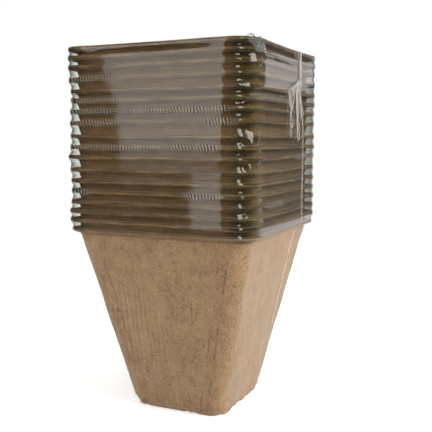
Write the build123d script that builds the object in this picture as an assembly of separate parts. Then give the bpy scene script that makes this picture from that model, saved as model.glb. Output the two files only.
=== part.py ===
"""A retail stack of square peat pots, nested in each other and held by a shrunk film sleeve.

Each pot is one piece of pressed peat and wood fibre: a square cup with rounded corners that tapers to a
flat base with a drain hole, and a flat rim that stands out round the mouth. The pots stand mouth up, each
one sitting inside the pot below, so that their rims make a ribbed block above the lowest pot's bare wall.
The sleeve is a tube of thin film. It stretches from rim to rim, draws in under the lowest rim, follows
that pot's wall down to the edge of its base, and is shrunk in over the top rim to a lip that leaves the
top pot's mouth open. A weld runs up its +X side.

Frame: millimetres, +Z up, origin on the floor at the middle of the lowest pot's base. The walls of the
pots look along X and Y.
"""

import math
import os

from build123d import *

# One pot
POT_HEIGHT = 80.0
MOUTH_WIDTH = 79.5
BASE_WIDTH = 43.5
CORNER_RADIUS = 7.0
WALL_THICKNESS = 0.75
BASE_THICKNESS = 1.6
DRAIN_DIAMETER = 8.0
DRAIN_SIDES = 8  # the real hole is round; it gets a few flats here because it repeats in every pot

# The rim round the mouth
RIM_REACH = 3.0
RIM_THICKNESS = 1.5

# How closely the pots nest. Pressed walls are uneven, so the steps between the pots differ: each share is
# one step over the closest one, and the first share is the step from the lowest pot to the second.
NEST_CLEARANCE = 0.05
NEST_STEP_SHARES = (
    1.08, 1.07, 1.16, 1.23, 1.19, 1.32, 1.41, 1.21, 1.20,
    1.58, 1.30, 1.21, 1.08, 1.42, 1.30, 1.09, 1.00,
)

# The film sleeve and its weld
FILM_THICKNESS = 0.1
FILM_CLEARANCE = 0.05
FILM_HEM_HEIGHT = 1.0
DRAW_IN_HEIGHT = 3.2
LIP_REACH = 3.6
WELD_WIDTH = 1.2
WELD_HEIGHT = 0.12
WELD_OFFSET = 18.7

# How far a cutting shape runs past what it cuts
OVERRUN = 1.0

# Places that follow from the sizes above
wall_slope = (MOUTH_WIDTH - BASE_WIDTH) / (2 * POT_HEIGHT)
rim_foot = POT_HEIGHT - RIM_THICKNESS
rim_half = MOUTH_WIDTH / 2 + RIM_REACH
rim_corner_radius = CORNER_RADIUS + RIM_REACH

# A pot goes down into the one below until their walls, their bases or their rims would meet.
wall_step = (WALL_THICKNESS + NEST_CLEARANCE) / wall_slope
base_step = BASE_THICKNESS + NEST_CLEARANCE
rim_step = RIM_THICKNESS + NEST_CLEARANCE
nest_step = max(wall_step, base_step, rim_step)


def wall_form(foot, top, outward=0.0):
    """The solid inside the tapered wall's outer surface, moved outward, or inward if negative."""
    foot_width = BASE_WIDTH + 2 * (wall_slope * foot + outward)
    top_width = BASE_WIDTH + 2 * (wall_slope * top + outward)
    inset = (top_width - foot_width) / 2
    far_side = top_width - inset
    block = Wedge(top_width, top - foot, top_width, inset, inset, far_side, far_side)
    block = Pos(0, 0, (foot + top) / 2) * Rot(-90, 0, 0) * block
    slanted_edges = block.edges().filter_by(lambda edge: abs(edge.tangent_at(0.5).Z) > 0.5)
    return fillet(slanted_edges, CORNER_RADIUS + outward)


def rim_outline(height, outward=0.0):
    """The rim's outer edge at a height, moved outward, or inward if negative."""
    width = 2 * (rim_half + outward)
    return Pos(0, 0, height) * RectangleRounded(width, width, rim_corner_radius + outward)


def rim_form(top, outward=0.0):
    """The solid inside the rim's edge, from the rim's underside up to a level."""
    return extrude(rim_outline(rim_foot, outward), top - rim_foot)


def peat_pot():
    """One pot, standing on its own base."""
    body = wall_form(0, POT_HEIGHT) + rim_form(POT_HEIGHT)
    cavity = wall_form(BASE_THICKNESS, POT_HEIGHT + OVERRUN, -WALL_THICKNESS)
    drain_outline = Pos(0, 0, -OVERRUN) * RegularPolygon(DRAIN_DIAMETER / 2, DRAIN_SIDES)
    return body - cavity - extrude(drain_outline, BASE_THICKNESS + 2 * OVERRUN)


def pot_levels():
    """Height of each pot's base above the floor, the lowest pot first."""
    levels = [0.0]
    for share in NEST_STEP_SHARES:
        levels.append(levels[-1] + nest_step * share)
    return levels


def draw_in_form(gap):
    """The solid inside the film where it draws in from the lowest rim's underside to the wall."""
    slope_reach = RIM_REACH + wall_slope * (RIM_THICKNESS + DRAW_IN_HEIGHT) + WALL_THICKNESS / 2
    slope_angle = math.degrees(math.atan2(slope_reach, DRAW_IN_HEIGHT))
    return extrude(rim_outline(rim_foot, gap), DRAW_IN_HEIGHT, dir=(0, 0, -1), taper=slope_angle)


def wrapped_form(gap, top):
    """A solid that fills everything up to a surface lying a gap outside the stack, whose top is given."""
    return wall_form(FILM_HEM_HEIGHT, rim_foot, gap) + draw_in_form(gap) + rim_form(top + gap, gap)


def film_sleeve(top):
    """The film round the whole stack, with its lip over the top rim and its welded seam."""
    film_outside = FILM_CLEARANCE + FILM_THICKNESS
    film = wrapped_form(film_outside, top) - wrapped_form(FILM_CLEARANCE, top)

    weld_slab = Pos(rim_half, WELD_OFFSET, top / 2) * Box(2 * rim_half, WELD_WIDTH, 2 * top)
    weld = wrapped_form(film_outside + WELD_HEIGHT, top) - wrapped_form(film_outside / 2, top)
    film = film + (weld & weld_slab)

    mouth_depth = LIP_REACH + OVERRUN
    mouth = extrude(rim_outline(top - mouth_depth, -LIP_REACH), 2 * mouth_depth)
    return film - mouth


os.makedirs("parts", exist_ok=True)
levels = pot_levels()
pot = peat_pot()
for number, level in enumerate(levels, start=1):
    export_step(Pos(0, 0, level) * pot, f"parts/pot_{number:02d}.step")
export_step(film_sleeve(levels[-1] + POT_HEIGHT), "parts/film_sleeve.step")
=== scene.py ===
import functools
import math

import bmesh
import bpy
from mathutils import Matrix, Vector, noise


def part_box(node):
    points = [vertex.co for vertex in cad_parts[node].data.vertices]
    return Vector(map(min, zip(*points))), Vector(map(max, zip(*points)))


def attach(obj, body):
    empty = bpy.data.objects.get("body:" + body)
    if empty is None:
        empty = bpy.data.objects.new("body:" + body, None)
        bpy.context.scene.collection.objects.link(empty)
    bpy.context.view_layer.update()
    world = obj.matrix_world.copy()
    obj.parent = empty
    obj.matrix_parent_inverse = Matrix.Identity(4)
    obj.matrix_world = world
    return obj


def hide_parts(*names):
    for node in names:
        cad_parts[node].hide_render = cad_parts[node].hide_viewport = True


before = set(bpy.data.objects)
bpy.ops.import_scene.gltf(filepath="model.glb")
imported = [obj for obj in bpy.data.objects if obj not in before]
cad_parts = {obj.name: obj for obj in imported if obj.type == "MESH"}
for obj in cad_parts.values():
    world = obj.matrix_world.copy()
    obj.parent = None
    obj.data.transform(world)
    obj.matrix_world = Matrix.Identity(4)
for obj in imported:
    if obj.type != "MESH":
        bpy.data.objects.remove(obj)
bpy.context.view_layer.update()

# Pressed peat
# Milled peat and wood fibre, sucked onto a mesh mould as wet pulp and dried. Every pot is made of it. Where
# the tight film lies over it, the peat is coloured much darker, and it's worn pale where the film rubs.
MM = 0.001
BARE_PEAT = (0.362, 0.232, 0.141, 1)
BARE_SHADE = (0.315, 0.193, 0.112, 1)
PALE_FIBRE = (0.45, 0.3, 0.165, 1)
DARK_FIBRE = (0.17, 0.09, 0.036, 1)
GROOVE_PEAT = (0.128, 0.069, 0.02, 1)
RIM_PEAT = (0.08, 0.042, 0.013, 1)
RUBBED_PEAT = (0.275, 0.168, 0.075, 1)
PAINTED_SHADE_PEAT = (0.035, 0.019, 0.0075, 1)
BARK_SPECK = (0.05, 0.027, 0.013, 1)
RUST_SPECK = (0.36, 0.13, 0.06, 1)
CLOUD_SIZE = (5 * MM, 5 * MM, 7 * MM)
GRAIN_SIZE = (1.2 * MM, 1.2 * MM, 1.4 * MM)
GRAIN_RELIEF = 0.28 * MM
MOTTLING = 0.46
PALE_FIBRE_SIZE = (0.75 * MM, 3.2 * MM)
PALE_FIBRE_TURNS = ((0, 0, 0), (0.6, 0.7, 0), (-0.8, 0.5, 0.4))
DARK_FIBRE_SIZE = (0.8 * MM, 2.4 * MM)
DARK_FIBRE_TURNS = ((0.3, -0.4, 0.2), (-0.5, -0.8, 0), (1.1, 0.9, 0))
FIBRE_PATCH_SIZE = (5 * MM, 5 * MM, 6 * MM)
FLAKE_PITCH = 3.6 * MM
STREAK_SIZE = (17 * MM, 17 * MM, 0.55 * MM)
SMUDGE_SIZE = (7 * MM, 7 * MM, 1.6 * MM)
RIB_PITCH = 2.3 * MM
RIB_SWAY = 1.6 * MM
RIB_SWAY_SIZE = (6 * MM, 6 * MM, 30 * MM)
CRACK_KINK_SIZE = (2.2 * MM, 2.2 * MM, 3 * MM)
CRACK_BREAK_SIZE = (9 * MM, 9 * MM, 14 * MM)

# Where the cracks run beside a corner and how far they stray, in mm
CRACK_STARTS = (0.1, 3.2)
CRACK_SWAY = 3.0


def node_in(tree, kind, values=None, **settings):
    """A shader node with its settings and the values of its sockets."""
    node = tree.nodes.new(kind)
    for name, value in settings.items():
        setattr(node, name, value)
    for socket, value in (values or {}).items():
        if isinstance(value, bpy.types.NodeSocket):
            tree.links.new(value, node.inputs[socket])
        else:
            node.inputs[socket].default_value = value
    return node


def math_in(tree, operation, *values, clamp=False):
    """The result of a Math node."""
    node = node_in(tree, "ShaderNodeMath", dict(enumerate(values)), operation=operation, use_clamp=clamp)
    return node.outputs[0]


def blend_in(tree, factor, first, second):
    """The result of mixing two colours."""
    node = node_in(tree, "ShaderNodeMix", {0: factor, 6: first, 7: second}, data_type="RGBA")
    return node.outputs[2]


def step_in(tree, value, low, high):
    """0 below low, 1 above high and a straight ramp between."""
    values = {"Value": value, "From Min": low, "From Max": high}
    return node_in(tree, "ShaderNodeMapRange", values, clamp=True).outputs[0]


def noise_in(tree, place, size, turn=(0, 0, 0), detail=2.0, roughness=0.5):
    """Noise whose lumps have the given size along each axis, in metres, after they are turned."""
    values = {"Vector": place, "Rotation": turn, "Scale": size}
    lumps = node_in(tree, "ShaderNodeMapping", values, vector_type="TEXTURE").outputs[0]
    values = {"Vector": lumps, "Scale": 1.0, "Detail": detail, "Roughness": roughness}
    return node_in(tree, "ShaderNodeTexNoise", values).outputs["Fac"]


def felt_in(tree, place, size, turns, low, high):
    """Where felted fibres lie: long lumps of noise in a few directions."""
    width, length = size
    felt = None
    for turn in turns:
        strand = step_in(tree, noise_in(tree, place, (width, width, length), turn, detail=1), low, high)
        felt = strand if felt is None else math_in(tree, "MAXIMUM", felt, strand)
    return felt


def make_fibre_grain():
    """The grain of pressed fibre: clouds, pale and dark fibres, bits of bark, and how high they stand."""
    group = bpy.data.node_groups.new("fibre_grain", "ShaderNodeTree")
    group.interface.new_socket("Place", in_out="INPUT", socket_type="NodeSocketVector")
    for name in ("Clouds", "Grains", "Pale fibres", "Dark fibres", "Bark", "Rust", "Height"):
        group.interface.new_socket(name, in_out="OUTPUT", socket_type="NodeSocketFloat")
    place = node_in(group, "NodeGroupInput").outputs["Place"]
    clouds = noise_in(group, place, CLOUD_SIZE, detail=6, roughness=0.75)
    grains = noise_in(group, place, GRAIN_SIZE, detail=5, roughness=0.85)
    pale = felt_in(group, place, PALE_FIBRE_SIZE, PALE_FIBRE_TURNS, 0.57, 0.72)
    dark = felt_in(group, place, DARK_FIBRE_SIZE, DARK_FIBRE_TURNS, 0.56, 0.68)
    values = {"Vector": place, "Scale": 1 / FLAKE_PITCH, "Randomness": 1.0}
    flakes = node_in(group, "ShaderNodeTexVoronoi", values)
    lot = node_in(group, "ShaderNodeSeparateColor", {"Color": flakes.outputs["Color"]})
    bark_size = math_in(group, "MULTIPLY", lot.outputs[0], 0.17)
    bark = math_in(group, "LESS_THAN", flakes.outputs["Distance"], bark_size)
    chosen = math_in(group, "GREATER_THAN", lot.outputs[1], 0.72)
    rare = math_in(group, "GREATER_THAN", lot.outputs[1], 0.965)
    lump = math_in(group, "SUBTRACT", 1, step_in(group, flakes.outputs["Distance"], 0.1, 0.26))
    height = math_in(group, "MULTIPLY_ADD", pale, 0.25, grains)
    height = math_in(group, "MULTIPLY_ADD", dark, -0.4, height)
    out = {
        "Clouds": clouds,
        "Grains": grains,
        "Pale fibres": pale,
        "Dark fibres": dark,
        "Bark": math_in(group, "MULTIPLY", bark, chosen),
        "Rust": math_in(group, "MULTIPLY", lump, rare),
        "Height": height,
    }
    node_in(group, "NodeGroupOutput", out)
    return group


fibre_grain = make_fibre_grain()


def rib_lines(tree, place):
    """Where the mould's upright drag lines stand proud, a little bent."""
    marked = node_in(tree, "ShaderNodeAttribute", attribute_name="ribs").outputs["Fac"]
    axes = node_in(tree, "ShaderNodeSeparateXYZ", {"Vector": place})
    bent = noise_in(tree, place, RIB_SWAY_SIZE, detail=1)
    across = math_in(tree, "MULTIPLY_ADD", bent, RIB_SWAY, axes.outputs[0])
    wave = math_in(tree, "COSINE", math_in(tree, "MULTIPLY", across, 2 * math.pi / RIB_PITCH))
    return math_in(tree, "MULTIPLY", marked, step_in(tree, wave, 0.35, 1.0))


def corner_cracks(tree, place):
    """Where the fine crooked cracks run down the wall beside its corners."""
    from_corner = node_in(tree, "ShaderNodeAttribute", attribute_name="from_corner").outputs["Fac"]
    crooked = noise_in(tree, place, CRACK_KINK_SIZE, detail=3, roughness=0.7)
    open_here = step_in(tree, noise_in(tree, place, CRACK_BREAK_SIZE, detail=1), 0.44, 0.56)
    cracks = None
    for start in CRACK_STARTS:
        beyond = math_in(tree, "SUBTRACT", from_corner, start + CRACK_SWAY / 2)
        off = math_in(tree, "ABSOLUTE", math_in(tree, "MULTIPLY_ADD", crooked, CRACK_SWAY, beyond))
        line = math_in(tree, "SUBTRACT", 1, step_in(tree, off, 0.06, 0.34))
        cracks = line if cracks is None else math_in(tree, "MAXIMUM", cracks, line)
    return math_in(tree, "MULTIPLY", cracks, open_here)


def pressed_peat(name):
    """Peat, bare or coloured darker where the tight film lies over it, with painted shade at covered
    corners.
    """
    material = bpy.data.materials.new(name)
    material.use_nodes = True
    tree = material.node_tree
    tree.nodes.clear()
    place = node_in(tree, "ShaderNodeTexCoord").outputs["Object"]
    grain = node_in(tree, "ShaderNodeGroup", {}, node_tree=fibre_grain)
    tree.links.new(place, grain.inputs["Place"])
    wrapped = node_in(tree, "ShaderNodeAttribute", attribute_name="behind_film").outputs["Fac"]
    on_rim = node_in(tree, "ShaderNodeAttribute", attribute_name="rim_edge").outputs["Fac"]
    rubbed = node_in(tree, "ShaderNodeAttribute", attribute_name="rubbed").outputs["Fac"]

    bare = blend_in(tree, step_in(tree, grain.outputs["Clouds"], 0.36, 0.64), BARE_SHADE, BARE_PEAT)
    film_darkened_peat = blend_in(tree, on_rim, GROOVE_PEAT, RIM_PEAT)
    colour = blend_in(tree, wrapped, bare, film_darkened_peat)
    mottled = math_in(tree, "MULTIPLY", step_in(tree, grain.outputs["Grains"], 0.38, 0.6), MOTTLING)
    colour = blend_in(tree, math_in(tree, "SUBTRACT", MOTTLING, mottled), colour, DARK_FIBRE)
    # Painted shade: covered rims are coloured darker towards the middle of each corner.
    shaded = node_in(tree, "ShaderNodeAttribute", attribute_name="painted_corner_shade").outputs["Fac"]
    colour = blend_in(tree, math_in(tree, "MULTIPLY", shaded, 0.6), colour, PAINTED_SHADE_PEAT)
    patches = noise_in(tree, place, FIBRE_PATCH_SIZE, detail=1)
    pale = math_in(tree, "MULTIPLY", grain.outputs["Pale fibres"], step_in(tree, patches, 0.35, 0.7))
    pale = math_in(tree, "MULTIPLY", pale, 0.6)
    pale = math_in(tree, "MULTIPLY", pale, math_in(tree, "MULTIPLY_ADD", wrapped, -0.75, 1))
    colour = blend_in(tree, pale, colour, PALE_FIBRE)
    dark = math_in(tree, "MULTIPLY", grain.outputs["Dark fibres"], step_in(tree, patches, 0.7, 0.35))
    dark = math_in(tree, "MULTIPLY", dark, 0.7)
    dark = math_in(tree, "MULTIPLY", dark, math_in(tree, "MULTIPLY_ADD", wrapped, -0.6, 1))
    colour = blend_in(tree, dark, colour, DARK_FIBRE)

    streaks = noise_in(tree, place, STREAK_SIZE, detail=3, roughness=0.6)
    smudges = noise_in(tree, place, SMUDGE_SIZE, detail=2)
    smeared = math_in(tree, "MULTIPLY_ADD", smudges, 0.4, math_in(tree, "MULTIPLY", streaks, 0.6))
    under_film = math_in(tree, "MULTIPLY", wrapped, 0.66)
    streaked = math_in(tree, "MULTIPLY", step_in(tree, smeared, 0.46, 0.57), under_film)
    colour = blend_in(tree, streaked, colour, RUBBED_PEAT)
    broken = math_in(tree, "MULTIPLY", rubbed, step_in(tree, streaks, 0.3, 0.6))
    colour = blend_in(tree, math_in(tree, "MULTIPLY", broken, 0.55), colour, RUBBED_PEAT)
    colour = blend_in(tree, math_in(tree, "MULTIPLY", grain.outputs["Bark"], 0.5), colour, BARK_SPECK)
    colour = blend_in(tree, math_in(tree, "MULTIPLY", grain.outputs["Rust"], 0.35), colour, RUST_SPECK)
    ribs = rib_lines(tree, place)
    colour = blend_in(tree, math_in(tree, "MULTIPLY", ribs, 0.4), colour, PALE_FIBRE)
    cracks = corner_cracks(tree, place)
    colour = blend_in(tree, math_in(tree, "MULTIPLY", cracks, 0.5), colour, BARK_SPECK)

    height = math_in(tree, "MULTIPLY_ADD", ribs, 0.9, grain.outputs["Height"])
    height = math_in(tree, "MULTIPLY_ADD", cracks, -1.2, height)
    values = {"Strength": 0.8, "Distance": GRAIN_RELIEF, "Height": height}
    raised = node_in(tree, "ShaderNodeBump", values)
    values = {"Base Color": colour, "Roughness": 0.92, "Normal": raised.outputs[0]}
    surface = node_in(tree, "ShaderNodeBsdfPrincipled", values)
    surface.inputs["Specular IOR Level"].default_value = 0.12
    surface.inputs["Sheen Weight"].default_value = 0.3
    surface.inputs["Sheen Roughness"].default_value = 0.45
    node_in(tree, "ShaderNodeOutputMaterial", {"Surface": surface.outputs[0]})
    return material


# The pots
# Each is one square cup with rounded corners, moulded in one go: a flat base with a drain hole, a wall that
# tapers so that the pots nest, and a rim that flares out flat. They just stand in each other.
POT_COUNT = 18
POT_HEIGHT = 80 * MM
BASE_HALF = 21.75 * MM
MOUTH_HALF = 39.75 * MM
CORNER_RADIUS = 7 * MM
WALL_THICKNESS = 0.75 * MM
BASE_THICKNESS = 1.6 * MM
DRAIN_RADIUS = 4 * MM
DRAIN_EDGE = 0.3 * MM
RIM_REACH = 3 * MM
RIM_THICKNESS = 1.5 * MM
RIM_NOSE = 0.65 * MM
RIM_FLARE = 1 * MM
MOUTH_ROUND = 1.1 * MM
BASE_ROUND = 2.2 * MM
FLOOR_ROUND = 1.2 * MM
OUTLINE_HALF = 40 * MM
OUTLINE_RADIUS = 7 * MM

# How far out the base is rounded like its drain hole, and from what share of its height up a nested pot's
# wall shows behind the film. A place off the wall counts as this far from a corner, in mm.
ROUND_REACH = 14 * MM
COVERED_SHARE = 0.93
OFF_THE_WALL = 50.0

# Where a corner starts to count and over what span it grows, as shares of half a side
CORNER_START = 0.77
CORNER_SPAN = 0.17

# How the film's pull and the pressing bend the pots out of true
TOP_PULL = 0.45 * MM
LIP_PULL = 0.6 * MM
PULL_FOOT = 40 * MM
LOWEST_PINCH = 0.55 * MM
LOWEST_DROOP = 0.15 * MM
LOWEST_FILM_DARKENING = 0.7
LOOSE_SHARES = {1: 0.85, 2: 0.45}
SWAY_SIZE = 26 * MM
CORNER_SWAY = 0.95 * MM
FLAT_SWAY = 0.4 * MM
FRAY_SIZE = 4.5 * MM
RIM_FRAY = 0.14 * MM
RIM_LIFT = 0.7 * MM
LUMP_SIZE = 16 * MM
LUMP_HEIGHT = 0.3 * MM
PIT_SIZE = 3.4 * MM
PIT_DEPTH = 0.1 * MM
DRAG_MIDDLE = (-14 * MM, 40 * MM)
DRAG_SPREAD = (13 * MM, 19 * MM)
WEAR_SIZE = 6 * MM
CHIP_SIZE = 2.2 * MM
EDGE_WEAR = 1.5 * MM
WEAR_HEIGHT = 4 * MM
RUB_DEPTH = 0.01 * MM

wall_slope = (MOUTH_HALF - BASE_HALF) / POT_HEIGHT
lean = math.atan(wall_slope)
rim_half = MOUTH_HALF + RIM_REACH
rim_foot = POT_HEIGHT - RIM_THICKNESS
outline_flat = OUTLINE_HALF - OUTLINE_RADIUS
pot_names = [f"pot_{number:02d}" for number in range(1, POT_COUNT + 1)]
pot_levels = [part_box(name)[0].z for name in pot_names]


def wall_half(height):
    """Half the width over a pot's wall at a height."""
    return BASE_HALF + wall_slope * height


def arc(out, up, radius, start, end, steps):
    """Points of an arc in a pot's section, as half widths and heights. Its angles are in degrees, from
    straight outward."""
    angles = [math.radians(start + (end - start) * step / steps) for step in range(steps + 1)]
    return [(out + radius * math.cos(angle), up + radius * math.sin(angle)) for angle in angles]


def run(start, end, steps):
    """Evenly spaced points between two places of the section, ends left out."""
    shares = [step / steps for step in range(1, steps)]
    return [tuple(a + (b - a) * share for a, b in zip(start, end)) for share in shares]


def outline_ring(mesh, corner_steps, flat_steps):
    """A closed outline with rounded corners to extrude from. Each vertex remembers its first place."""
    first_place = mesh.verts.layers.float_vector.new("first_place")
    square = bmesh.ops.create_grid(mesh, x_segments=1, y_segments=1, size=OUTLINE_HALF)["verts"]
    bmesh.ops.bevel(
        mesh,
        geom=square,
        offset=OUTLINE_RADIUS,
        offset_type="OFFSET",
        segments=corner_steps,
        profile=0.5,
        affect="VERTICES",
        material=-1,
    )
    bmesh.ops.delete(mesh, geom=list(mesh.faces), context="FACES_ONLY")
    flats = [edge for edge in mesh.edges if edge.calc_length() > OUTLINE_RADIUS]
    bmesh.ops.subdivide_edges(mesh, edges=flats, cuts=flat_steps - 1)
    for vertex in mesh.verts:
        vertex[first_place] = vertex.co
    return list(mesh.edges), first_place


def fitted(value, half, radius):
    """Moves one coordinate of the starting outline to an outline with another size and corner radius."""
    size = abs(value)
    if size <= outline_flat:
        return value * (half - radius) / outline_flat
    return math.copysign(half - radius + (size - outline_flat) * radius / OUTLINE_RADIUS, value)


def next_ring(mesh, ring):
    """Extrudes a ring. Gives the new ring's edges and its vertices, which still lie on the old one."""
    made = bmesh.ops.extrude_edge_only(mesh, edges=ring)["geom"]
    vertices = [part for part in made if isinstance(part, bmesh.types.BMVert)]
    new = set(vertices)
    edges = [
        part
        for part in made
        if isinstance(part, bmesh.types.BMEdge) and part.verts[0] in new and part.verts[1] in new
    ]
    return edges, vertices


def finished(mesh, name, material):
    """Turns a bmesh into a smooth object that rides on the stack."""
    bmesh.ops.recalc_face_normals(mesh, faces=mesh.faces)
    for face in mesh.faces:
        face.smooth = True
    data = bpy.data.meshes.new(name)
    mesh.to_mesh(data)
    mesh.free()
    data.materials.append(material)
    piece = bpy.data.objects.new(name, data)
    bpy.context.scene.collection.objects.link(piece)
    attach(piece, "root")
    return piece


def cornering(x, y):
    """0 along a flat side and 1 in the middle of a corner."""
    share = (min(abs(x), abs(y)) - CORNER_START * OUTLINE_HALF) / (CORNER_SPAN * OUTLINE_HALF)
    share = min(max(share, 0.0), 1.0)
    return share * share * (3 - 2 * share)


def side_pull(pot, x, y):
    """How far the tight film draws a rim in along a side, most in the middle of the upper ones."""
    middle = max(1 - (min(abs(x), abs(y)) / outline_flat) ** 2, 0)
    above = max(pot_levels[pot - 1] - PULL_FOOT, 0) / (pot_levels[-1] - PULL_FOOT)
    pull = TOP_PULL * above * middle
    if pot == POT_COUNT:
        pull += LIP_PULL * middle
    return pull


@functools.cache
def rim_wander(pot, x, y):
    """How far a pot's rim strays from true at a place round it: outward and upward."""
    broad = Vector((x, y, 0)) / SWAY_SIZE + Vector((0, 0, 3.7 * pot))
    fine = Vector((x, y, 0)) / FRAY_SIZE + Vector((0, 0, 5.3 * pot))
    corner = cornering(x, y)
    sway = noise.noise(broad)
    out = CORNER_SWAY * corner * sway - FLAT_SWAY * (1 - corner) * abs(sway)
    out += RIM_FRAY * (noise.noise(fine) - 0.6 * (1 - corner)) - side_pull(pot, x, y)
    up = RIM_LIFT * noise.noise(broad + Vector((9.1, 4.2, 0))) * (0.35 + 0.65 * corner)
    if pot == 1:
        out -= LOWEST_PINCH
        up = 0.5 * up - LOWEST_DROOP
    return out, up


def soft_lumps(spot):
    """How far the lowest pot's wall stands proud of true, in slow lumps."""
    return LUMP_HEIGHT * noise.noise(spot / LUMP_SIZE)


def pressing_marks(spot):
    """How deep the pits go in the lowest pot's wall."""
    return PIT_DEPTH * (1 - noise.noise(spot / PIT_SIZE))


def mould_ribs(spot):
    """Where the mould's upright drag lines show on the lowest pot's -Y wall, from 0 to 1."""
    if spot.y > -abs(spot.x):
        return 0.0
    aside = (spot.x - DRAG_MIDDLE[0]) / DRAG_SPREAD[0]
    above = (spot.z - DRAG_MIDDLE[1]) / DRAG_SPREAD[1]
    return math.exp(-(aside**4) - above**4)


def edge_wear(spot):
    """How much is rubbed off the lowest pot's base edge."""
    rough = noise.noise(spot / WEAR_SIZE) + 0.8 * noise.noise(spot / CHIP_SIZE) + 0.2
    return EDGE_WEAR * max(rough, 0) * max(1 - spot.z / WEAR_HEIGHT, 0)


def pot_section():
    """The pot's section from the drain hole out along the underside, up, over the rim and back down inside.
    Each point has the half width, the height, and the name of the stretch that it belongs to."""
    turn = math.degrees(lean)
    base_out = BASE_HALF - BASE_ROUND * (math.cos(lean) - wall_slope * (1 - math.sin(lean)))
    flare_foot = rim_foot - RIM_FLARE * (1 - math.sin(lean))
    flare_out = wall_half(flare_foot) + RIM_FLARE * math.cos(lean)
    nose_out = rim_half - RIM_NOSE
    inside = BASE_HALF - WALL_THICKNESS
    mouth_foot = POT_HEIGHT - MOUTH_ROUND * (1 - math.sin(lean))
    mouth_out = inside + wall_slope * mouth_foot + MOUTH_ROUND * math.cos(lean)
    floor_foot = BASE_THICKNESS + FLOOR_ROUND * (1 - math.sin(lean))
    floor_out = inside + wall_slope * floor_foot - FLOOR_ROUND * math.cos(lean)
    drain_out = DRAIN_RADIUS + DRAIN_EDGE
    low = arc(base_out, BASE_ROUND, BASE_ROUND, -90, -turn, 8)
    flare = arc(flare_out, rim_foot - RIM_FLARE, RIM_FLARE, 180 - turn, 90, 7)
    mouth = arc(mouth_out, POT_HEIGHT - MOUTH_ROUND, MOUTH_ROUND, 90, 180 - turn, 5)
    floor = arc(floor_out, BASE_THICKNESS + FLOOR_ROUND, FLOOR_ROUND, -turn, -90, 4)
    stretches = [
        ("drain", [(DRAIN_RADIUS, 0.5 * BASE_THICKNESS), (DRAIN_RADIUS, DRAIN_EDGE), (drain_out, 0)]),
        ("under", run((drain_out, 0), (base_out, 0), 9)),
        ("wall", low),
        ("wall", run(low[-1], flare[0], 98)),
        ("flare", flare),
        ("nose", arc(nose_out, rim_foot + RIM_NOSE, RIM_NOSE, -90, 0, 4)),
        ("nose", arc(nose_out, POT_HEIGHT - RIM_NOSE, RIM_NOSE, 0, 90, 4)),
        ("top", run((nose_out, POT_HEIGHT), mouth[0], 3)),
        ("mouth", mouth),
        ("inside", run(mouth[-1], floor[0], 70)),
        ("inside", floor),
        ("floor", run(floor[-1], (drain_out, BASE_THICKNESS), 9)),
        ("drain", [(drain_out, BASE_THICKNESS), (DRAIN_RADIUS, BASE_THICKNESS - DRAIN_EDGE)]),
    ]
    return [(half, height, name) for name, points in stretches for half, height in points]


def film_darkening(pot, place):
    """How much darker a pot's covered rim is coloured: less on the lowest pot, and less towards +X and +Y
    on the lowest two, where the film lies loose.
    """
    loose = min(max((place.x + place.y) / (OUTLINE_HALF + outline_flat), 0), 1)
    return (LOWEST_FILM_DARKENING if pot == 1 else 1.0) * (1 - LOOSE_SHARES.get(pot, 0) * loose)


def coarser(section, names, keep):
    """The section with only some of the points of its long plain stretches."""
    kept = [index % keep == 0 or point[2] not in names for index, point in enumerate(section)]
    return [point for point, stays in zip(section, kept) if stays]


def make_pot(pot, section, corner_steps, flat_steps, material):
    """One pot's mesh, at its level in the stack."""
    mesh = bmesh.new()
    ring, first_place = outline_ring(mesh, corner_steps, flat_steps)
    behind_film = mesh.verts.layers.float.new("behind_film")
    rim_edge = mesh.verts.layers.float.new("rim_edge")
    rubbed = mesh.verts.layers.float.new("rubbed")
    ribs = mesh.verts.layers.float.new("ribs")
    from_corner = mesh.verts.layers.float.new("from_corner")
    painted_corner_shade = mesh.verts.layers.float.new("painted_corner_shade")
    level = pot_levels[pot - 1]
    first_ring, vertices = ring, list(mesh.verts)
    for index, (half, height, stretch) in enumerate(section):
        if index:
            ring, vertices = next_ring(mesh, ring)
        round_share = min(max((ROUND_REACH - half) / (ROUND_REACH - DRAIN_RADIUS), 0), 1)
        radius = max(min(CORNER_RADIUS + half - wall_half(height), 0.98 * half), 0.1 * MM)
        on_rim = stretch in ("flare", "nose", "top") and min(max((half - MOUTH_HALF) / RIM_REACH, 0), 1)
        covered = stretch in ("flare", "nose") or (stretch == "top" and half > MOUTH_HALF)
        if stretch == "wall":
            covered = pot > 1 and height > COVERED_SHARE * POT_HEIGHT
        for vertex in vertices:
            place = vertex[first_place]
            here, rise = half, height
            if on_rim:
                out, up = rim_wander(pot, place.x, place.y)
                here, rise = half + out * on_rim, height + up * on_rim
            x, y = fitted(place.x, here, radius), fitted(place.y, here, radius)
            if round_share:
                length = math.hypot(x, y)
                x += (x * half / length - x) * round_share
                y += (y * half / length - y) * round_share
            spot = Vector((x, y, level + rise))
            if stretch == "wall" and pot == 1:
                side = Vector((x, y, 0)).normalized()
                vertex[ribs] = mould_ribs(spot)
                wear = edge_wear(spot)
                spot += side * (soft_lumps(spot) - pressing_marks(spot) - wear)
                spot.z += 0.5 * wear
            vertex.co = spot
            to_corner = (here - CORNER_RADIUS - min(abs(x), abs(y))) / MM
            vertex[from_corner] = to_corner if stretch == "wall" else OFF_THE_WALL
            vertex[behind_film] = film_darkening(pot, place) if covered else 0.0
            # Painted shade: how far into a corner a covered spot lies, which darkens its colour there.
            vertex[painted_corner_shade] = cornering(place.x, place.y) if covered else 0.0
            vertex[rim_edge] = 1.0 if stretch == "nose" else 0.0
            vertex[rubbed] = 1.0 if stretch == "nose" and rim_half - half < RUB_DEPTH else 0.0
    bmesh.ops.bridge_loops(mesh, edges=first_ring + ring)
    piece = finished(mesh, f"peat_pot_{pot:02d}", material)
    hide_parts(pot_names[pot - 1])
    return piece


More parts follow.
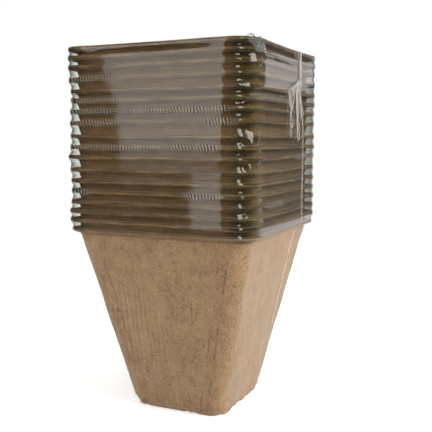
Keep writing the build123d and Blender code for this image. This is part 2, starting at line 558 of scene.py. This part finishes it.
peat = pressed_peat("pressed_peat")
fine_section = pot_section()
lowest_section = coarser(fine_section, ("inside",), 8)
highest_section = coarser(fine_section, ("wall",), 8)
nested_section = coarser(fine_section, ("wall", "inside"), 8)
for number in range(1, POT_COUNT + 1):
    if number == 1:
        make_pot(number, lowest_section, corner_steps=20, flat_steps=92, material=peat)
    elif number == POT_COUNT:
        make_pot(number, highest_section, corner_steps=16, flat_steps=56, material=peat)
    else:
        make_pot(number, nested_section, corner_steps=14, flat_steps=44, material=peat)

# The film sleeve
# A tube of clear film, slipped over the stack and shrunk by hot air until it grips every rim. It draws in
# below them and clings to the lowest pot's wall, and it curls in over the top rim. Along some rims it's
# gathered into fine pleats, and beside the front corner it stands off in bubbles.
FILM_GAP = 0.06 * MM
FILM_THICKNESS = 0.05 * MM
CLING_GAP = 0.2 * MM
CLING_STEPS = 30
FILM_HEM = 2.8 * MM
HEM_WAVE = 0.5 * MM
HEM_WAVE_SIZE = 9 * MM
HEM_WAVE_REACH = 12 * MM
DRAW_IN = 1.2 * MM
DRAW_HEAD = 0.3 * MM
LIP_REACH = 3.4 * MM
LIP_RISE = 0.12 * MM
LIP_WAVE_SIZE = 8 * MM
CORNER_SAG = 0.55 * MM
FLAT_SAG = 0.015 * MM
BRIDGE_DIP = 0.12 * MM
FLAT_HUG = 0.01
CORNER_HUG = 0.11
PLEAT_SLANT = 0.22
PLEAT_PITCH = 1.35 * MM
PLEAT_RUN_OUT = 3 * MM
PLEAT_TAIL_SHARE = 0.28
PLEAT_SWAY = 1.4 * MM
PLEAT_SWAY_SIZE = (7 * MM, 7 * MM, 3 * MM)
SHRINK_RIPPLE = 0.03 * MM
SHRINK_RIPPLE_SIZE = (9 * MM, 9 * MM, 5 * MM)
FILM_CLEAR = (0.985, 0.99, 0.98, 1)
FILM_EDGE_ON = (0.25, 0.265, 0.22, 1)
FILM_PAINTED_SHADE = (0.8, 0.82, 0.76, 1)
PLEAT_SHADE = (0.5, 0.46, 0.4, 1)
PLEAT_PAINTED_HIGHLIGHT = (0.58, 0.47, 0.34, 1)
FILM_MILK = (0.82, 0.82, 0.79, 1)

# The rims that the film is pleated along, and from where to where on each side, in mm from its middle
PLEATED_RIMS = {
    ("front", 15): ((-40, -16),),
    ("front", 13): ((-38, -12),),
    ("front", 12): ((-40, 34),),
    ("front", 11): ((-42, -12), (22, 36)),
    ("front", 9): ((-40, 30),),
    ("front", 5): ((-40, -27), (12, 30)),
    ("right", 13): ((-40, -2),),
    ("right", 8): ((6, 34),),
    ("right", 4): ((-30, -8),),
    ("back", 14): ((-20, 30),),
    ("back", 10): ((-34, 12),),
    ("back", 6): ((0, 34),),
    ("left", 16): ((-30, 5),),
    ("left", 11): ((-12, 36),),
    ("left", 7): ((-36, -5),),
}

# Bubbles of loose film beside the front corner, each pulled flat into a facet that leans back a little. For
# each: how high its middle is and half how tall it is, in mm, and from where to where it goes round the
# corner, in degrees from the front
CORNER_BUBBLES = (
    (117.7, 3.3, 42, 58),
    (106.8, 2.3, 43, 54),
    (146.2, 2.6, 52, 64),
    (136.8, 1.8, 41, 50),
    (129.3, 1.3, 40, 48),
    (88.0, 1.5, 38, 48),
)
FACET_TURN = math.radians(28)
FACET_LEAN = 0.158
BUBBLE_EDGE = 0.6 * MM
BUBBLE_RISE = 6
BUBBLE_FALL = 16


def film_material(name, milk=0.0):
    """Clear film: it mirrors a little square on and a lot at a glance, and less where it clings to the
    rough peat. Its pleats get a painted highlight, whitish on their crests, and painted shade beside them:
    a darker tint and less mirror. Painted shade darkens its tint in the middle of the gaps at the
    corners. Crumpled or drawn-out film is milky."""
    material = bpy.data.materials.new(name)
    material.use_nodes = True
    tree = material.node_tree
    tree.nodes.clear()
    place = node_in(tree, "ShaderNodeTexCoord").outputs["Object"]
    facing = node_in(tree, "ShaderNodeLayerWeight", {"Blend": 0.5}).outputs["Facing"]
    clings = node_in(tree, "ShaderNodeAttribute", attribute_name="clings").outputs["Fac"]
    pleats = node_in(tree, "ShaderNodeAttribute", attribute_name="pleats").outputs["Fac"]
    glance = math_in(tree, "POWER", facing, 5)
    mirror = math_in(tree, "MULTIPLY_ADD", glance, 0.96, 0.04)
    mirror = math_in(tree, "MULTIPLY", mirror, math_in(tree, "MULTIPLY_ADD", clings, -0.88, 1))
    axes = node_in(tree, "ShaderNodeSeparateXYZ", {"Vector": place})
    round_it = math_in(tree, "ADD", axes.outputs[0], axes.outputs[1])
    slanted = math_in(tree, "MULTIPLY_ADD", axes.outputs[2], PLEAT_SLANT, round_it)
    uneven = noise_in(tree, place, PLEAT_SWAY_SIZE, detail=1)
    slanted = math_in(tree, "MULTIPLY_ADD", uneven, PLEAT_SWAY, slanted)
    wave = math_in(tree, "SINE", math_in(tree, "MULTIPLY", slanted, 2 * math.pi / PLEAT_PITCH))
    pleats = math_in(tree, "MULTIPLY", pleats, step_in(tree, uneven, 0.2, 0.6))
    # Painted highlight and shade: the pleats' crests get a whitish diffuse colour, and beside them the film
    # gets a darker tint and mirrors less.
    crest_highlights = math_in(tree, "MULTIPLY", step_in(tree, wave, 0.55, 0.95), pleats)
    shades = math_in(tree, "MULTIPLY", step_in(tree, wave, -0.2, -0.9), pleats)
    mirror = math_in(tree, "MULTIPLY", mirror, math_in(tree, "MULTIPLY_ADD", shades, -0.9, 1))
    soft = noise_in(tree, place, SHRINK_RIPPLE_SIZE, detail=1)
    raised = node_in(tree, "ShaderNodeBump", {"Strength": 1.0, "Distance": SHRINK_RIPPLE, "Height": soft})
    values = {"Roughness": math_in(tree, "MULTIPLY_ADD", clings, 0.4, 0.05), "Normal": raised.outputs[0]}
    gloss = node_in(tree, "ShaderNodeBsdfGlossy", {"Color": (1, 1, 1, 1), **values})
    edge_on = math_in(tree, "POWER", facing, 4)
    edge_on = math_in(tree, "MULTIPLY", edge_on, math_in(tree, "SUBTRACT", 1, clings))
    # Painted shade: the film's tint darkens in the middle of each gap between rims at the corners.
    painted_gap_shade = node_in(tree, "ShaderNodeAttribute", attribute_name="painted_gap_shade").outputs["Fac"]
    tint = blend_in(tree, painted_gap_shade, FILM_CLEAR, FILM_PAINTED_SHADE)
    tint = blend_in(tree, edge_on, tint, FILM_EDGE_ON)
    tint = blend_in(tree, math_in(tree, "MULTIPLY", shades, 0.8), tint, PLEAT_SHADE)
    clear = node_in(tree, "ShaderNodeBsdfTransparent", {"Color": tint})
    colour = blend_in(tree, crest_highlights, FILM_MILK, PLEAT_PAINTED_HIGHLIGHT)
    white = node_in(tree, "ShaderNodeBsdfDiffuse", {"Color": colour})
    whiteness = math_in(tree, "MULTIPLY_ADD", crest_highlights, 0.4, milk)
    body = node_in(tree, "ShaderNodeMixShader", {0: whiteness, 1: clear.outputs[0], 2: white.outputs[0]})
    skin = node_in(tree, "ShaderNodeMixShader", {0: mirror, 1: body.outputs[0], 2: gloss.outputs[0]})
    node_in(tree, "ShaderNodeOutputMaterial", {"Surface": skin.outputs[0]})
    return material


@functools.cache
def film_grip(pot, x, y):
    """How far out of true the film lies at a rim. Along the sides it's drawn flat. At the corners it
    follows the rims, and bridges one that stands back from its neighbours."""
    corner = cornering(x, y)
    own = rim_wander(pot, x, y)[0]
    beside = rim_wander(max(pot - 1, 1), x, y)[0] + rim_wander(min(pot + 1, POT_COUNT), x, y)[0]
    bridged = max(own, beside / 2 - BRIDGE_DIP)
    drawn = -side_pull(pot, x, y) - (LOWEST_PINCH if pot == 1 else 0)
    return bridged * corner + drawn * (1 - corner)


def bubbled(spot, radius):
    """Where a spot of the film lies once its bubbles are pulled out."""
    middle = rim_half - radius
    across, ahead = spot.x - middle, -spot.y - middle
    if min(across, ahead) <= 0:
        return spot
    turn, standing = math.atan2(across, ahead), math.hypot(across, ahead)
    for height, reach, start, end in CORNER_BUBBLES:
        up = spot.z - height * MM
        facet = (radius + FILM_GAP) * math.cos(math.radians(start) - FACET_TURN) - FACET_LEAN * up
        above = min(max((reach * MM - abs(up)) / BUBBLE_EDGE, 0), 1)
        before = min(max((math.degrees(turn) - start) / BUBBLE_RISE + 1, 0), 1)
        after = min(max((end - math.degrees(turn)) / BUBBLE_FALL + 1, 0), 1)
        standing += max(facet / math.cos(turn - FACET_TURN) - standing, 0) * above * before * after
    return Vector((middle + standing * math.sin(turn), -middle - standing * math.cos(turn), spot.z))


def pleating(pot, x, y):
    """How strongly the film is pleated at a place along a rim, from 0 to 1."""
    if abs(y) >= abs(x):
        side, along = ("front" if y < 0 else "back"), x
    else:
        side, along = ("right" if x > 0 else "left"), y
    strength = 0.0
    for start, end in PLEATED_RIMS.get((side, pot), ()):
        inside = min(along - start * MM, end * MM - along) / PLEAT_RUN_OUT
        strength = max(strength, min(inside, 1.0))
    return strength


def film_rows():
    """The film's rings from the hem up: what each lies against, which one or how high, and how far on."""
    cling_top = rim_foot - LOWEST_DROOP - DRAW_IN
    climb = cling_top - FILM_HEM
    rows = [("cling", FILM_HEM + climb * step / CLING_STEPS, 0.0) for step in range(CLING_STEPS + 1)]
    rows += [("draw", cling_top, share) for share in (0.25, 0.5, 0.75, 0.92)]
    for pot in range(1, POT_COUNT + 1):
        rows += [("rim", pot, share) for share in (0.2, 0.5, 0.8)]
        if pot < POT_COUNT:
            rows += [("gap", pot, share) for share in (0.12, 0.3, 0.5, 0.7, 0.88)]
    return rows + [("lip", POT_COUNT, share) for share in (0.1, 0.35, 0.65, 1.0)]


def film_spot(row, place, lift=0.0):
    """Where the film lies at a ring and a place round it, or something that lies on it."""
    kind, number, share = row
    x, y = place.x, place.y
    corner = cornering(x, y)
    gap, radius = FILM_GAP, CORNER_RADIUS + RIM_REACH
    if kind in ("cling", "draw"):
        head = rim_foot + DRAW_HEAD + rim_wander(1, x, y)[1]
        height = number + (head - number) * share
        if kind == "cling":
            wave = HEM_WAVE * noise.noise(Vector((x, y, 0)) / HEM_WAVE_SIZE)
            height += wave * max(1 - number / HEM_WAVE_REACH, 0)
        reach = rim_half + film_grip(1, x, y) - wall_half(number)
        half = wall_half(number) + reach * share**1.35
        gap = CLING_GAP + (FILM_GAP - CLING_GAP) * share
        radius = CORNER_RADIUS + half - wall_half(height)
    elif kind == "rim":
        height = pot_levels[number - 1] + rim_foot + RIM_THICKNESS * share + rim_wander(number, x, y)[1]
        hug = (FLAT_HUG + CORNER_HUG * corner) * MM * abs(share - 0.5) / 0.3
        half = rim_half + film_grip(number, x, y) - hug
    elif kind == "gap":
        foot = pot_levels[number - 1] + POT_HEIGHT + rim_wander(number, x, y)[1]
        head = pot_levels[number] + rim_foot + rim_wander(number + 1, x, y)[1]
        height = foot + (head - foot) * share
        low, high = film_grip(number, x, y), film_grip(number + 1, x, y)
        sag = FLAT_SAG + (CORNER_SAG - FLAT_SAG) * corner
        half = rim_half + low + (high - low) * share - 4 * sag * share * (1 - share)
    else:
        half = rim_half + film_grip(number, x, y)
        half -= LIP_REACH * share * (0.85 + 0.3 * noise.noise(place / LIP_WAVE_SIZE))
        on_rim = min(max((half - MOUTH_HALF) / RIM_REACH, 0), 1)
        height = pot_levels[-1] + POT_HEIGHT + rim_wander(number, x, y)[1] * on_rim + FILM_GAP
        height += LIP_RISE * share
        radius = max(CORNER_RADIUS + half - MOUTH_HALF, MM)
    gap += lift
    spot = Vector((fitted(x, half + gap, radius + gap), fitted(y, half + gap, radius + gap), height))
    if kind == "cling":
        spot += Vector((spot.x, spot.y, 0)).normalized() * soft_lumps(spot)
    elif kind in ("rim", "gap"):
        spot = bubbled(spot, radius)
    return spot


def make_film(material):
    """The film's skin, from its hem to its lip."""
    mesh = bmesh.new()
    ring, first_place = outline_ring(mesh, corner_steps=18, flat_steps=44)
    clings = mesh.verts.layers.float.new("clings")
    pleats = mesh.verts.layers.float.new("pleats")
    painted_gap_shade = mesh.verts.layers.float.new("painted_gap_shade")
    for index, row in enumerate(film_rows()):
        kind, number, share = row
        vertices = list(mesh.verts)
        if index:
            ring, vertices = next_ring(mesh, ring)
        for vertex in vertices:
            place = vertex[first_place]
            vertex.co = film_spot(row, place)
            vertex[clings] = 1.0 if kind in ("cling", "draw") else 0.0
            if kind == "rim" and number == 1:
                vertex[clings] = 0.7 - 0.4 * share
            if kind == "rim":
                vertex[pleats] = pleating(number, place.x, place.y)
            elif kind == "gap":
                below = pleating(number, place.x, place.y) * (1 - share / PLEAT_TAIL_SHARE)
                above = pleating(number + 1, place.x, place.y) * (1 - (1 - share) / PLEAT_TAIL_SHARE)
                vertex[pleats] = max(below, above, 0.0)
                # Painted shade in the middle of each gap at the corners, which darkens the film's tint
                # there.
                vertex[painted_gap_shade] = min(8 * share * (1 - share), 1.0) * cornering(place.x, place.y)
    piece = finished(mesh, "film_sleeve_skin", material)
    thick = piece.modifiers.new("thickness", "SOLIDIFY")
    thick.thickness = FILM_THICKNESS
    thick.offset = 1.0
    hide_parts("film_sleeve")
    return piece


film = make_film(film_material("shrink_film"))

# The weld
# The tube was made from flat film, closed by a hot wire. That leaves two fine beads with a narrow strip of
# film between them. They run up the +X side, drawn a little askew near the top.
WELD_OFFSET = 16.6 * MM
WELD_SLANT = -4.8 * MM
SLANT_FOOT = 0.120
SLANT_HEAD = 0.142
WELD_WANDER = 0.7 * MM
WELD_WANDER_SIZE = 23 * MM
WELD_HALF_WIDTH = 0.4 * MM
BEAD_RADIUS = 0.11 * MM


def seam_offset(height):
    """How far from the middle of the side the weld runs at a height."""
    share = min(max((height - SLANT_FOOT) / (SLANT_HEAD - SLANT_FOOT), 0), 1)
    wander = WELD_WANDER * noise.noise(Vector((0, 0, height / WELD_WANDER_SIZE)))
    return WELD_OFFSET + WELD_SLANT * share * share * (3 - 2 * share) + wander


def side_place(along, half, radius):
    """The place round the starting outline that lands on the +X side at a distance from its middle."""
    flat = half - radius
    if abs(along) <= flat:
        return Vector((OUTLINE_HALF, along * outline_flat / flat, 0))
    past = min((abs(along) - flat) * OUTLINE_RADIUS / radius, OUTLINE_RADIUS)
    across = math.sqrt(OUTLINE_RADIUS**2 - past**2)
    return Vector((outline_flat + across, math.copysign(outline_flat + past, along), 0))


def thread(mesh, points, radius, sides=6):
    """A closed thread along some points on the +X side."""
    first_place = mesh.verts.layers.float_vector.get("first_place")
    if first_place is None:
        first_place = mesh.verts.layers.float_vector.new("first_place")
    vertices = bmesh.ops.create_circle(mesh, cap_ends=False, segments=sides, radius=1)["verts"]
    for vertex in vertices:
        vertex[first_place] = vertex.co
    first_ring = ring = list({edge for vertex in vertices for edge in vertex.link_edges})
    for index, point in enumerate(points):
        if index:
            ring, vertices = next_ring(mesh, ring)
        ahead = points[min(index + 1, len(points) - 1)] - points[max(index - 1, 0)]
        across = Vector((1, 0, 0)).cross(ahead).normalized()
        outward = ahead.cross(across).normalized()
        for vertex in vertices:
            unit = vertex[first_place]
            vertex.co = point + (across * unit.x + outward * unit.y) * radius
    bmesh.ops.edgeloop_fill(mesh, edges=first_ring)
    bmesh.ops.edgeloop_fill(mesh, edges=ring)


def weld_line(shift, lift):
    """Points up the weld, at a distance beside its middle and over the film."""
    points = []
    for row in film_rows():
        kind, number, share = row
        if kind == "lip":
            break
        height = number if kind in ("cling", "draw") else pot_levels[number - 1] + POT_HEIGHT
        half = wall_half(height) if kind == "cling" else rim_half
        radius = CORNER_RADIUS if kind == "cling" else CORNER_RADIUS + RIM_REACH
        along = seam_offset(height) + shift
        points.append(film_spot(row, side_place(along, half, radius), lift))
    return points


def make_weld(material):
    """The two fine beads of the weld, which cling with the film below the rims."""
    mesh = bmesh.new()
    for shift in (-WELD_HALF_WIDTH, WELD_HALF_WIDTH):
        thread(mesh, weld_line(shift, FILM_THICKNESS + BEAD_RADIUS), BEAD_RADIUS)
    clings = mesh.verts.layers.float.new("clings")
    for vertex in mesh.verts:
        vertex[clings] = 1.0 if vertex.co.z < rim_foot else 0.0
    piece = finished(mesh, "film_weld", material)
    return piece


weld = make_weld(film_material("welded_film", milk=0.22))

# The tuft and the ear
# Where the film tore from the next one on the roll, a twist of it hangs from the top of the weld and ends
# in drawn-out strands and loops, whitened by the stretch. Another torn edge is crumpled at a corner.
STEM_HEIGHTS = (0.1541, 0.1515, 0.1495, 0.1473, 0.1462, 0.144, 0.1419)
STEM_RADIUS = 0.15 * MM
STEM_TWIST = 0.2 * MM
STEM_FOOT = (10.6, 141.6)
THREAD_RADIUS = 0.09 * MM
STRAND_STEPS = 8
LOOP_STEPS = 24

# In mm: only loops that start over this height hang from the stem, and those this wide are doubled
LOWEST_STRAND = 130
DOUBLED_WIDTH = 3

# Makes the strands stray from their places the same way in every run
TUFT_SEED = 1796013228

# The loops of the tuft: where each hangs from and how low it reaches, as distance from the middle of the
# side and height in mm, and how wide it swings out
TUFT_LOOPS = (
    ((-4.6, 136.4), (-1.8, 128.4), 1.6),
    ((-3.0, 137.0), (-0.9, 127.6), 2.4),
    ((-1.2, 128.4), (-0.6, 122.3), 3.6),
    ((-1.0, 122.6), (-1.8, 117.5), 2.6),
    ((0.6, 138.0), (-1.0, 129.6), 2.2),
    ((2.6, 138.6), (1.0, 131.0), 2.6),
    ((4.4, 138.6), (6.2, 126.6), 2.4),
    ((7.4, 139.0), (6.9, 125.4), 3.0),
    ((7.2, 125.8), (8.7, 122.2), 4.2),
    ((8.8, 122.6), (8.5, 116.4), 3.4),
    ((9.6, 138.6), (11.6, 124.4), 2.0),
    ((11.0, 138.0), (13.6, 127.0), 2.6),
)

# The ear: how far its edges are from the middle of the side, how low it starts and how tall it is, in mm
EAR_NEAR = -41.0
EAR_FAR = -35.5
EAR_FOOT = 149.0
EAR_HEIGHT = 5.6


def on_side(along, height, lift):
    """A place over the film's flat +X side."""
    grip = -side_pull(16, OUTLINE_HALF, along)
    return Vector((rim_half + grip + FILM_GAP + FILM_THICKNESS + lift, along, height))


def make_tuft(material):
    """The twisted stem, the strands that spread from its foot and the loops that they end in."""
    noise.seed_set(TUFT_SEED)
    mesh = bmesh.new()
    stem = [on_side(seam_offset(height), height, 0.5 * MM) for height in STEM_HEIGHTS]
    for twist in (0, 2.1, 4.2):
        angles = [twist + 1.7 * index for index in range(len(stem))]
        turned = [Vector((math.cos(angle), math.sin(angle), 0)) * STEM_TWIST for angle in angles]
        thread(mesh, [point + turn for point, turn in zip(stem, turned)], STEM_RADIUS)
    for number, (start, end, width) in enumerate(TUFT_LOOPS):
        for copy in (0,) if width < DOUBLED_WIDTH else (0, 1):
            shift = noise.noise_vector(Vector((number * 1.7, copy * 2.3, 0.5)))
            points = []
            if start[1] > LOWEST_STRAND:
                for step in range(STRAND_STEPS):
                    share = step / STRAND_STEPS
                    along = STEM_FOOT[0] + (start[0] + shift.x - STEM_FOOT[0]) * share**0.8
                    height = STEM_FOOT[1] + (start[1] - STEM_FOOT[1]) * share
                    lift = 0.5 + 0.8 * math.sin(math.pi * share) + 0.4 * shift.y * share
                    points.append(on_side(along * MM, height * MM, lift * MM))
            for step in range(LOOP_STEPS + 1):
                angle = 2 * math.pi * step / LOOP_STEPS
                down = (1 - math.cos(angle)) / 2
                swing = (width / 2 + 0.5 * shift.y) * math.sin(angle) * down**0.7
                along = start[0] + shift.x + (end[0] - start[0] - 0.6 * shift.x) * down + swing
                height = start[1] + (end[1] + 2 * shift.z - start[1]) * down
                lift = 0.6 + 0.4 * noise.noise(Vector((number * 3.1, angle, copy))) + 0.5 * down
                points.append(on_side(along * MM, height * MM, lift * MM))
            thread(mesh, points, THREAD_RADIUS, sides=5)
    piece = finished(mesh, "film_tuft", material)
    return piece


def make_ear(material):
    """The crumpled edge of film at the front corner, from over the rim to a little way down the side."""
    mesh = bmesh.new()
    bmesh.ops.create_grid(mesh, x_segments=34, y_segments=22, size=0.5)
    for vertex in mesh.verts:
        across, up = vertex.co.x + 0.5, vertex.co.y + 0.5
        near, far = EAR_NEAR + 3 * (1 - up), EAR_FAR + 5.5 * (1 - up) ** 1.5
        along = (near + (far - near) * across) * MM
        crumple = noise.noise(Vector((across * 5, up * 6, 0.7)))
        crumple += 0.5 * noise.noise(Vector((across * 12, up * 9, 3)))
        height = (EAR_FOOT + 1.5 * crumple + EAR_HEIGHT * up) * MM
        base = film_spot(("rim", POT_COUNT, 0.5), side_place(along, rim_half, CORNER_RADIUS + RIM_REACH))
        outward = Vector((base.x - outline_flat, base.y + outline_flat if along < -outline_flat else 0, 0))
        stand_off = (0.55 + 0.5 * crumple - 1.6 * max(up - 0.86, 0) / 0.14) * MM
        edge = 4 * across * (1 - across)
        base += outward.normalized() * (stand_off * edge**0.4 + 0.1 * MM)
        vertex.co = Vector((base.x, base.y, height))
    piece = finished(mesh, "film_ear", material)
    thick = piece.modifiers.new("thickness", "SOLIDIFY")
    thick.thickness = FILM_THICKNESS
    return piece


tuft = make_tuft(film_material("drawn_out_film", milk=0.45))
ear = make_ear(film_material("crumpled_film", milk=0.04))

# Floor, light and camera
# A pale floor under soft studio light, seen from the photograph's place. Mirrors show the white backdrop
# behind the pots and the dark room in front of them, where the softboxes hang, with a dim floor.
FLOOR_TONE = (0.8, 0.8, 0.79, 1)
FLOOR_RADIUS = 0.57
FLOOR_TOP_UP = 0.45
FLOOR_MIRRORED = 0.85
FLOOR_DIM = 0.1
FLOOR_BLEND = 0.06
SOFT_LEVEL = 0.72
BACKDROP_WAY = (-0.433, 0.901, 0)
BACKDROP_EDGE = (0.77, 0.82)
SIDE_WAY = (0.8, 0.6, 0)
SIDE_EDGE = (0.55, 0.7)
SIDE_LEVEL = 0.07
ROOM_LEVEL = 0.03
CAMERA_PLACE = (0.13767, -0.28632, 0.117)
CAMERA_DOWN = 6.16
CAMERA_ROUND = 25.68


def make_floor():
    """The pale floor. Mirrors see it bright behind the pots and dim in front of them."""
    mesh = bmesh.new()
    bmesh.ops.create_circle(mesh, cap_ends=True, segments=96, radius=FLOOR_RADIUS)
    data = bpy.data.meshes.new("floor_sheet")
    mesh.to_mesh(data)
    mesh.free()
    material = bpy.data.materials.new("floor_sheet")
    material.use_nodes = True
    tree = material.node_tree
    tree.nodes.clear()
    path = node_in(tree, "ShaderNodeLightPath")
    seen = math_in(tree, "MAXIMUM", path.outputs["Is Camera Ray"], path.outputs["Is Transmission Ray"])
    paint = node_in(tree, "ShaderNodeBsdfDiffuse", {"Color": FLOOR_TONE})
    top_up = math_in(tree, "MULTIPLY", seen, FLOOR_TOP_UP)
    glow = node_in(tree, "ShaderNodeEmission", {"Color": (1, 1, 1, 1), "Strength": top_up})
    both = node_in(tree, "ShaderNodeAddShader", {0: paint.outputs[0], 1: glow.outputs[0]})
    place = node_in(tree, "ShaderNodeTexCoord").outputs["Object"]
    values = {0: place, 1: BACKDROP_WAY}
    ahead = node_in(tree, "ShaderNodeVectorMath", values, operation="DOT_PRODUCT").outputs["Value"]
    behind = step_in(tree, ahead, -FLOOR_BLEND, FLOOR_BLEND)
    bright = math_in(tree, "MULTIPLY_ADD", behind, FLOOR_MIRRORED - FLOOR_DIM, FLOOR_DIM)
    mirrored = node_in(tree, "ShaderNodeEmission", {"Color": (1, 1, 1, 1), "Strength": bright})
    values = {0: path.outputs["Is Glossy Ray"], 1: both.outputs[0], 2: mirrored.outputs[0]}
    surface = node_in(tree, "ShaderNodeMixShader", values)
    node_in(tree, "ShaderNodeOutputMaterial", {"Surface": surface.outputs[0]})
    data.materials.append(material)
    floor = bpy.data.objects.new("floor_sheet", data)
    bpy.context.scene.collection.objects.link(floor)


make_floor()

world = bpy.data.worlds.new("studio")
bpy.context.scene.world = world
world.use_nodes = True
world.node_tree.nodes.clear()
tree = world.node_tree
path = node_in(tree, "ShaderNodeLightPath")
way = node_in(tree, "ShaderNodeTexCoord").outputs["Generated"]
values = {0: way, 1: BACKDROP_WAY}
ahead = node_in(tree, "ShaderNodeVectorMath", values, operation="DOT_PRODUCT").outputs["Value"]
values = {0: way, 1: SIDE_WAY}
aside = node_in(tree, "ShaderNodeVectorMath", values, operation="DOT_PRODUCT").outputs["Value"]
beside = math_in(tree, "MULTIPLY", step_in(tree, aside, *SIDE_EDGE), SIDE_LEVEL)
white = math_in(tree, "MAXIMUM", step_in(tree, ahead, *BACKDROP_EDGE), beside)
mirrored = math_in(tree, "MAXIMUM", white, ROOM_LEVEL)
seen = math_in(tree, "MAXIMUM", path.outputs["Is Camera Ray"], path.outputs["Is Transmission Ray"])
level = math_in(tree, "MULTIPLY_ADD", seen, 1 - SOFT_LEVEL, SOFT_LEVEL)
level = node_in(tree, "ShaderNodeMix", {0: path.outputs["Is Glossy Ray"], 2: level, 3: mirrored}).outputs[0]
sky = node_in(tree, "ShaderNodeBackground", {"Color": (1, 1, 1, 1), "Strength": level})
node_in(tree, "ShaderNodeOutputWorld", {"Surface": sky.outputs[0]})


def softbox(name, place, aim, size, radiance, mirrored=True):
    """A rectangular lamp that shines evenly from its place towards its aim. Mirrors can leave it out."""
    lamp = bpy.data.lights.new(name, "AREA")
    lamp.shape = "RECTANGLE"
    lamp.size, lamp.size_y = size
    lamp.energy = radiance * math.pi * size[0] * size[1]
    piece = bpy.data.objects.new(name, lamp)
    piece.location = place
    piece.rotation_euler = (Vector(aim) - Vector(place)).to_track_quat("-Z", "Y").to_euler()
    piece.visible_glossy = mirrored
    bpy.context.scene.collection.objects.link(piece)


softbox("strip_softbox", (-0.3135, -0.662, 0.2475), (-0.3135, 0, 0.2475), (0.171, 0.285), 1.32)
softbox("upper_skirt", (-0.3135, -0.662, 0.0955), (-0.3135, 0, 0.0955), (0.171, 0.019), 0.8)
softbox("lower_skirt", (-0.3235, -0.662, 0.076), (-0.3235, 0, 0.076), (0.151, 0.02), 0.35)
softbox("low_softbox", (-0.258, -0.662, 0.03), (-0.258, 0, 0.03), (0.06, 0.075), 1.2)
softbox("corner_softbox", (0.69, -0.98, 0.5), (0, 0, 0.12), (0.26, 0.7), 4.5)
softbox("back_card", (0.43, 1.1, 0.255), (0.043, 0, 0.14), (0.1, 0.062), 0.8)
softbox("key_softbox", (1.2, 0.1, 0.6), (0, 0, 0.06), (0.8, 0.8), 10.3, mirrored=False)
softbox("fill_softbox", (-0.6, -1.2, 0.6), (0, 0, 0.08), (0.7, 0.7), 2.35, mirrored=False)

camera_data = bpy.data.cameras.new("camera")
camera_data.sensor_width = 36
camera_data.lens = 59.55
camera_data.shift_x = 0.0422
camera = bpy.data.objects.new("camera", camera_data)
camera.location = CAMERA_PLACE
camera.rotation_euler = (math.radians(90 - CAMERA_DOWN), 0, math.radians(CAMERA_ROUND))
bpy.context.scene.collection.objects.link(camera)
bpy.context.scene.camera = camera
bpy.context.scene.view_settings.view_transform = "Standard"
